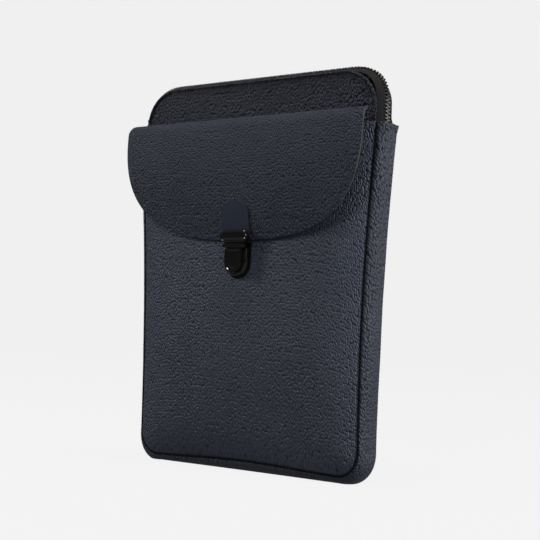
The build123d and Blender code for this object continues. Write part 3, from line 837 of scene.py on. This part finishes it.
def build_lock(lacquer):
    """Lock plate, domed housing and thumb piece on the pocket; strike bar with its lip on the tab."""
    base_low, base_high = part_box("lock_base_plate")
    house_low, house_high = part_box("lock_housing")
    thumb_low, thumb_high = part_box("lock_button")
    strike_low, strike_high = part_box("lock_strike")
    slot = "black_gloss_metal"
    centre = base_low.z + base_high.x
    plate = base_low.y / MM
    wall = house_low.y / MM
    face = thumb_low.y / MM - 1.0
    bar = strike_low.y / MM

    outline = shield_outline(base_high.x, centre, base_high.z)
    rings = [(0, plate + 1), (0, plate), (0.25, plate - 0.3), (0.7, plate - 0.3), (1.0, plate), (1.6, plate)]
    finish(lofted("lock_plate", outline, rings), lacquer, "case", slot, "lock_base_plate")

    outline = shield_outline(house_high.x, centre, house_high.z)
    rings = [(0, plate), (0, wall + 2.4), (0.15, wall + 1.5), (0.6, wall + 0.7), (1.3, wall + 0.2),
             (2.0, wall), (2.6, wall), (2.85, wall + 0.3), (2.85, wall + 2.6)]
    finish(lofted("lock_dome", outline, rings, capped=False), lacquer, "case", slot, "lock_housing")

    outline = shield_outline(thumb_high.x, centre, thumb_high.z)
    rings = [(0, wall + 1.4), (0, face + 0.12), (0.12, face), (0.9, face), (1.0, face + 0.15),
             (1.6, face + 0.45), (2.0, face + 0.5), (3.2, face + 0.4), (5.0, face + 0.35)]
    finish(lofted("lock_thumb", outline, rings), lacquer, "lock_button", slot, "lock_button")

    bar_height = 9.4 * MM
    bar_centre = strike_high.z - bar_height / 2 - 0.8 * MM
    back = bar + 3.1
    outline = stadium_outline(strike_high.x, bar_centre, bar_height)
    rings = [(0, back), (0, bar + 1.0), (0.12, bar + 0.5), (0.45, bar + 0.12), (0.6, bar), (1.1, bar + 0.1),
             (1.3, bar + 0.35), (1.7, bar + 0.45), (3.6, bar + 0.25)]
    finish(lofted("strike_bar", outline, rings), lacquer, "flap", slot, "lock_strike")
    lip_height = 3.2 * MM
    lip_centre = strike_low.z + lip_height / 2
    outline = pointed_outline(0.9 * strike_high.x, lip_centre, lip_height, 1.9 * MM)
    rings = [(0, back), (0, bar + 1.1), (0.2, bar + 0.8), (0.7, bar + 0.7), (0.9, bar + 0.8)]
    finish(lofted("strike_lip", outline, rings), lacquer, "flap", slot)
    neck_top = bar_centre - bar_height / 2 + MM
    neck = stadium_outline(9.5 * MM, (strike_low.z + neck_top) / 2, neck_top - strike_low.z)
    finish(lofted("strike_neck", neck, [(0, back), (0, bar + 1.4), (0.2, bar + 1.3)]), lacquer, "flap", slot)
    tongue = stadium_outline(6 * MM, lip_centre, lip_height)
    rings = [(0, plate - 0.4), (0, back), (0.1, back - 0.1)]
    finish(lofted("strike_tongue", tongue, rings), lacquer, "flap", slot)


# ---- Materials ----
class Nodes:
    """Short names for building a material's node tree."""

    def __init__(self, name):
        self.material = bpy.data.materials.new(name)
        self.material.use_nodes = True
        self.tree = self.material.node_tree
        self.shader = self.tree.nodes["Principled BSDF"]

    def feed(self, socket, value):
        """Links another node's output to an input, or sets its value."""
        if isinstance(value, bpy.types.NodeSocket):
            self.tree.links.new(value, socket)
        else:
            socket.default_value = value

    def add(self, kind, **inputs):
        node = self.tree.nodes.new("ShaderNode" + kind)
        for key, value in inputs.items():
            self.feed(node.inputs[key.replace("_", " ")], value)
        return node

    def math(self, operation, a, b=0.0, c=0.0):
        node = self.tree.nodes.new("ShaderNodeMath")
        node.operation = operation
        for socket, value in zip(node.inputs, (a, b, c)):
            self.feed(socket, value)
        return node.outputs[0]

    def mix(self, factor, a, b):
        node = self.tree.nodes.new("ShaderNodeMix")
        node.data_type = "RGBA"
        for socket, value in ((node.inputs[0], factor), (node.inputs[6], a), (node.inputs[7], b)):
            self.feed(socket, value)
        return node.outputs[2]

    def position(self, stretch=(1, 1, 1)):
        coordinates = self.add("TexCoord")
        mapping = self.add("Mapping", Vector=coordinates.outputs["Object"])
        mapping.inputs["Scale"].default_value = stretch
        return mapping.outputs[0]

    def noise(self, vector, scale, detail=2.0):
        return self.add("TexNoise", Vector=vector, Scale=scale, Detail=detail).outputs["Fac"]

    def ramp(self, value, low, high):
        node = self.add("MapRange", Value=value)
        node.interpolation_type = "SMOOTHSTEP"
        node.inputs["From Min"].default_value = low
        node.inputs["From Max"].default_value = high
        return node.outputs[0]

    def bump(self, height, distance, strength=1.0):
        return self.add("Bump", Height=height, Distance=distance, Strength=strength).outputs[0]

    def surface(self, **inputs):
        for key, value in inputs.items():
            self.feed(self.shader.inputs[key.replace("_", " ")], value)
        return self.material


def rgb(r, g, b):
    return (r, g, b, 1)


def pebbled_leather(name, scale, relief, tone=1.0, shine=0.4, side=False):
    """Full-grain leather: domed pebbles, taller than wide, with painted shade darkening the creases between
    them. The pebbles lie in a flat pattern, laid over the front and back by X and Z, or round the gusset by
    Y and Z. The scale is pebbles per metre, the relief their height, and the tone and the shine scale the
    colour and the sheen; the pocket's higher tone is painted light and the upper panel's lower tone painted
    shade."""
    stretch = (1, 0.58, 1)
    wander = 0.7 * MM
    n = Nodes(name)
    place = n.position()
    x, y, z = n.add("SeparateXYZ", Vector=place).outputs
    if side:
        flat = n.add("CombineXYZ", X=y, Y=n.math("ADD", z, n.math("ABSOLUTE", x)))
    else:
        flat = n.add("CombineXYZ", X=x, Y=n.math("ADD", z, y))
    tall = n.add("Mapping", Vector=flat.outputs[0])
    tall.inputs["Scale"].default_value = stretch
    warp = n.add("TexNoise", Vector=tall.outputs[0], Scale=420.0, Detail=2.0)
    bent = n.tree.nodes.new("ShaderNodeVectorMath")
    bent.operation = "MULTIPLY_ADD"
    n.tree.links.new(warp.outputs["Color"], bent.inputs[0])
    bent.inputs[1].default_value = (wander, wander, wander)
    n.tree.links.new(tall.outputs[0], bent.inputs[2])
    cells = n.add("TexVoronoi", Vector=bent.outputs[0], Scale=scale, Randomness=0.85)
    cells.voronoi_dimensions = "2D"
    radius = cells.outputs["Distance"]
    dome = n.math("SUBTRACT", 1.0, n.math("MULTIPLY", radius, radius))
    fine = n.noise(place, 1900.0, 2.0)
    height = n.math("MULTIPLY_ADD", fine, 0.05, dome)
    broad = n.noise(place, 22.0, 3.0)
    low = rgb(0.0150 * tone, 0.0167 * tone, 0.0268 * tone)
    high = rgb(0.0190 * tone, 0.0209 * tone, 0.0316 * tone)
    pebble = n.mix(n.ramp(broad, 0.3, 0.7), low, high)
    # Painted shade: the near-black colour fills the creases where the domes fall off, on top of the bump's
    # own shading.
    colour = n.mix(n.ramp(dome, 0.35, 0.8), rgb(0.004, 0.0045, 0.009), pebble)
    rough = n.math("MULTIPLY_ADD", fine, 0.1, 0.44)
    normal = n.bump(height, relief, 1.0)
    return n.surface(Base_Color=colour, Roughness=rough, Normal=normal, Specular_IOR_Level=shine,
                     Specular_Tint=rgb(0.80, 0.87, 1.0))


def smooth_leather():
    """Smooth finished leather with only fine pores."""
    n = Nodes("smooth_leather")
    place = n.position()
    pores = n.noise(place, 2600.0, 2.0)
    cloud = n.noise(place, 90.0, 2.0)
    colour = n.mix(cloud, rgb(0.0110, 0.0150, 0.0280), rgb(0.0140, 0.0185, 0.0315))
    rough = n.math("ADD", n.math("MULTIPLY", cloud, 0.12), 0.42)
    normal = n.bump(pores, 0.00006, 0.5)
    return n.surface(Base_Color=colour, Roughness=rough, Normal=normal, Specular_IOR_Level=0.3,
                     Specular_Tint=rgb(0.80, 0.87, 1.0))


def raw_edge():
    """Cut leather edge, brown-grey and fibrous."""
    n = Nodes("raw_edge")
    place = n.position()
    fibre = n.noise(place, 900.0, 4.0)
    colour = n.mix(fibre, rgb(0.009, 0.008, 0.007), rgb(0.024, 0.021, 0.019))
    normal = n.bump(fibre, 0.0002, 0.6)
    return n.surface(Base_Color=colour, Roughness=0.72, Normal=normal)


def suede():
    """Suede with a fine nap, brushed darker and lighter in places."""
    n = Nodes("suede")
    place = n.position()
    nap = n.noise(place, 1400.0, 4.0)
    brushed = n.noise(place, 45.0, 3.0)
    colour = n.mix(brushed, rgb(0.016, 0.017, 0.022), rgb(0.032, 0.033, 0.040))
    normal = n.bump(nap, 0.0002, 0.7)
    return n.surface(Base_Color=colour, Roughness=0.92, Normal=normal, Sheen_Weight=0.3)


def woven(name, dark, light, threads_per_mm, depth):
    """Plain weave: two crossed sets of threads."""
    n = Nodes(name)
    split = n.add("SeparateXYZ", Vector=n.position())
    scale = 2 * pi * threads_per_mm / MM
    across = n.math("SINE", n.math("MULTIPLY", n.math("ADD", split.outputs[0], split.outputs[1]), scale))
    up = n.math("SINE", n.math("MULTIPLY", n.math("ADD", split.outputs[2], split.outputs[1]), scale))
    weave = n.math("MULTIPLY_ADD", n.math("MULTIPLY", across, up), 0.5, 0.5)
    fuzz = n.noise(n.position(), 900.0, 2.0)
    colour = n.mix(n.math("MULTIPLY_ADD", fuzz, 0.4, n.math("MULTIPLY", weave, 0.6)), dark, light)
    normal = n.bump(weave, depth, 0.8)
    return n.surface(Base_Color=colour, Roughness=0.9, Normal=normal, Specular_IOR_Level=0.2)


def thread_material():
    """Twisted thread."""
    n = Nodes("thread")
    twist = n.add("TexWave", Vector=n.position(), Scale=900.0, Distortion=0.5)
    colour = n.mix(twist.outputs["Fac"], rgb(0.001, 0.0013, 0.003), rgb(0.003, 0.0035, 0.007))
    normal = n.bump(twist.outputs["Fac"], 0.0001, 0.6)
    return n.surface(Base_Color=colour, Roughness=0.8, Normal=normal, Specular_IOR_Level=0.1)


def foam_material():
    """Open-cell foam."""
    n = Nodes("foam")
    cells = n.add("TexVoronoi", Vector=n.position(), Scale=1400.0)
    colour = n.mix(cells.outputs["Distance"], rgb(0.05, 0.05, 0.055), rgb(0.11, 0.11, 0.115))
    normal = n.bump(cells.outputs["Distance"], 0.0002, 0.6)
    return n.surface(Base_Color=colour, Roughness=0.95, Normal=normal)


def metal(name, dark, light, roughness, metallic, scratch):
    """Metal with faint handling marks in its roughness and surface."""
    n = Nodes(name)
    place = n.position()
    marks = n.noise(place, 700.0, 4.0)
    cloud = n.noise(place, 120.0, 2.0)
    colour = n.mix(cloud, dark, light)
    rough = n.math("MULTIPLY_ADD", marks, scratch, roughness)
    normal = n.bump(marks, 0.00004, 0.4)
    return n.surface(Base_Color=colour, Roughness=rough, Normal=normal, Metallic=metallic)


def gloss_black():
    """Gloss black lacquer over cast zinc."""
    n = Nodes("gloss_black")
    place = n.position()
    marks = n.noise(place, 900.0, 3.0)
    cloud = n.noise(place, 160.0, 2.0)
    colour = n.mix(cloud, rgb(0.004, 0.004, 0.004), rgb(0.009, 0.009, 0.0085))
    rough = n.math("MULTIPLY_ADD", marks, 0.06, 0.06)
    normal = n.bump(cloud, 0.00008, 0.35)
    return n.surface(Base_Color=colour, Roughness=rough, Normal=normal, Specular_IOR_Level=0.5)


def board_material():
    """Pressed board with fibres along its length."""
    n = Nodes("board")
    fibres = n.noise(n.position((1, 6, 6)), 300.0, 4.0)
    colour = n.mix(fibres, rgb(0.10, 0.085, 0.06), rgb(0.24, 0.2, 0.15))
    return n.surface(Base_Color=colour, Roughness=0.9, Normal=n.bump(fibres, 0.0001, 0.5))


def paint_nodes(material, *names):
    """Gives CAD nodes that stay in view their material."""
    for name in names:
        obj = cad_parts[name]
        obj.data.materials.clear()
        obj.data.materials.append(material)


# ---- Stage ----
BACKDROP = 0.868


def seen_or_lit(n, seen, lit):
    """A value for what the camera sees directly, and another for what lights the object."""
    ray = n.add("LightPath").outputs["Is Camera Ray"]
    return n.math("MULTIPLY_ADD", ray, seen - lit, lit)


def build_floor():
    """Pale floor that turns up into a backdrop behind the object, just under the foot."""
    radius = 1.2
    back = 2.5
    width = 8.0
    profile = [(-6.0, 0.0), (back, 0.0)]
    profile += [(back + radius * sin(a), radius * (1 - cos(a))) for a in spread(0, pi / 2, 24)[1:]]
    profile += [(back + radius, 6.0)]
    rows = [[(x, y, z - 0.2 * MM) for x in (-width, width)] for y, z in profile]
    obj = grid_object("floor", np.array(rows), flip=True)
    n = Nodes("floor")
    tone = n.noise(n.position(), 3.0, 1.0)
    colour = n.mix(tone, rgb(0.019, 0.019, 0.019), rgb(0.021, 0.021, 0.021))
    n.surface(Base_Color=colour, Roughness=0.9, Specular_IOR_Level=0.0, Emission_Color=rgb(1, 1, 1),
              Emission_Strength=seen_or_lit(n, BACKDROP, 0.2))
    obj.data.materials.append(n.material)


def area_light(name, place, size, power):
    """Soft light that faces the middle of the sleeve."""
    middle = Vector((0, 0, 0.15))
    data = bpy.data.lights.new(name, "AREA")
    data.shape = "RECTANGLE"
    data.size, data.size_y = size
    data.energy = power
    obj = bpy.data.objects.new(name, data)
    obj.location = place
    obj.rotation_euler = (middle - Vector(place)).to_track_quat("-Z", "Y").to_euler()
    bpy.context.scene.collection.objects.link(obj)


def build_light():
    """A dim room with soft lights: a key high in front, and others left, right and overhead."""
    world = bpy.data.worlds.new("studio")
    world.use_nodes = True
    background = world.node_tree.nodes["Background"]
    background.inputs["Color"].default_value = rgb(1, 1, 1)
    ray = world.node_tree.nodes.new("ShaderNodeLightPath")
    strength = world.node_tree.nodes.new("ShaderNodeMapRange")
    strength.inputs["To Min"].default_value = 0.04
    strength.inputs["To Max"].default_value = BACKDROP
    world.node_tree.links.new(ray.outputs["Is Camera Ray"], strength.inputs["Value"])
    world.node_tree.links.new(strength.outputs[0], background.inputs["Strength"])
    bpy.context.scene.world = world
    area_light("key", (-0.1, -1.25, 1.05), (0.25, 0.3), 8.4)
    area_light("left", (-1.3, -0.65, 0.7), (0.25, 0.5), 9)
    area_light("top", (0.1, -0.1, 1.7), (0.6, 0.4), 18)
    area_light("right", (1.4, 0.15, 0.4), (0.4, 0.8), 19)
    area_light("sheen", (1.15, -0.85, 0.55), (0.15, 0.4), 3)
    area_light("back_right", (0.9, 1.2, 0.5), (0.4, 0.8), 2)


def build_camera():
    """The photographer stood to the right of the front, just below the middle of the sleeve."""
    aim = Vector((0, -SEAM_PLANE, 156.5 * MM))
    yaw = radians(35.35)
    pitch = radians(-2.0)
    roll = radians(-1.77)
    distance = 867.5 * MM
    back = Vector((sin(yaw) * cos(pitch), -cos(yaw) * cos(pitch), sin(pitch)))
    right = Vector((cos(yaw), sin(yaw), 0))
    up = back.cross(right)
    turned_right = right * cos(roll) - up * sin(roll)
    turned_up = right * sin(roll) + up * cos(roll)
    data = bpy.data.cameras.new("camera")
    data.sensor_width = 36
    data.lens = 73.9
    data.shift_x = 0.0415
    data.clip_end = 50
    obj = bpy.data.objects.new("camera", data)
    axes = Matrix((turned_right, turned_up, back)).transposed()
    obj.matrix_world = Matrix.Translation(aim + back * distance) @ axes.to_4x4()
    bpy.context.scene.collection.objects.link(obj)
    bpy.context.scene.camera = obj


# ---- Build ----
# Painted light: the pocket uses the body's leather at tone 1.8 against 1.1 on the gusset and back, a
# brighter copy for the light the pocket catches.
pocket_leather = pebbled_leather("pocket_leather_grain_painted_light", scale=730.0, relief=1.2 * MM, tone=1.8)
flap_leather = pebbled_leather("flap_leather_grain", scale=800.0, relief=1.5 * MM, tone=1.15, shine=0.26)
gusset_leather = pebbled_leather("gusset_leather_grain", scale=640.0, relief=1.1 * MM, tone=1.1, side=True)
back_leather = pebbled_leather("back_leather_grain", scale=690.0, relief=1.0 * MM, tone=1.1)
# Painted shade: the upper panel's tone of 0.75 makes a darker copy of the body's leather for the shaded
# upper panel.
upper_leather = pebbled_leather("upper_leather_grain_painted_shade", scale=640.0, relief=3.4 * MM, tone=0.75, shine=0.27)
smooth = smooth_leather()
edge = raw_edge()
cloth = woven("lining_cloth", rgb(0.010, 0.010, 0.013), rgb(0.035, 0.035, 0.042), 1.6, 0.0001)
tape = woven("zip_tape", rgb(0.004, 0.0038, 0.0037), rgb(0.013, 0.012, 0.0115), 1.5, 0.00012)
thread = thread_material()
dark_metal = metal("zip_metal", rgb(0.09, 0.086, 0.08), rgb(0.18, 0.17, 0.16), 0.24, 1.0, 0.15)
steel = metal("bare_steel", rgb(0.42, 0.42, 0.42), rgb(0.55, 0.55, 0.54), 0.3, 1.0, 0.2)
lacquer = gloss_black()

build_pocket_panel(pocket_leather)
build_main_panel(upper_leather)
build_back_panel(back_leather)
build_gusset(gusset_leather)
build_flap(flap_leather, edge)
build_flap_root(flap_leather, edge)
build_flap_suede(suede())
build_tab(smooth, edge)
build_inside(cloth, foam_material())
build_pocket_lining(cloth)
build_stitches(thread)
build_zip_tape(-1, MAIN_FACE + LEATHER, tape, "zip_tape_front_weave", "zip_tape_front")
build_zip_tape(1, SEAM_PLANE - LEATHER, tape, "zip_tape_back_weave", "zip_tape_back")
build_teeth(-1, 0, dark_metal, "zip_teeth_front_row", "zip_teeth_front")
build_teeth(1, 0.5, dark_metal, "zip_teeth_back_row", "zip_teeth_back")
build_lock(lacquer)
paint_nodes(steel, "lock_catch_plate", "lock_spring", "lock_backing_plate", "strike_backing_plate")
paint_nodes(dark_metal, "zip_slider", "zip_puller", "zip_end_stops")
paint_nodes(board_material(), "bottom_stiffener")

build_floor()
build_light()
build_camera()
bpy.context.scene.view_settings.view_transform = "Standard"
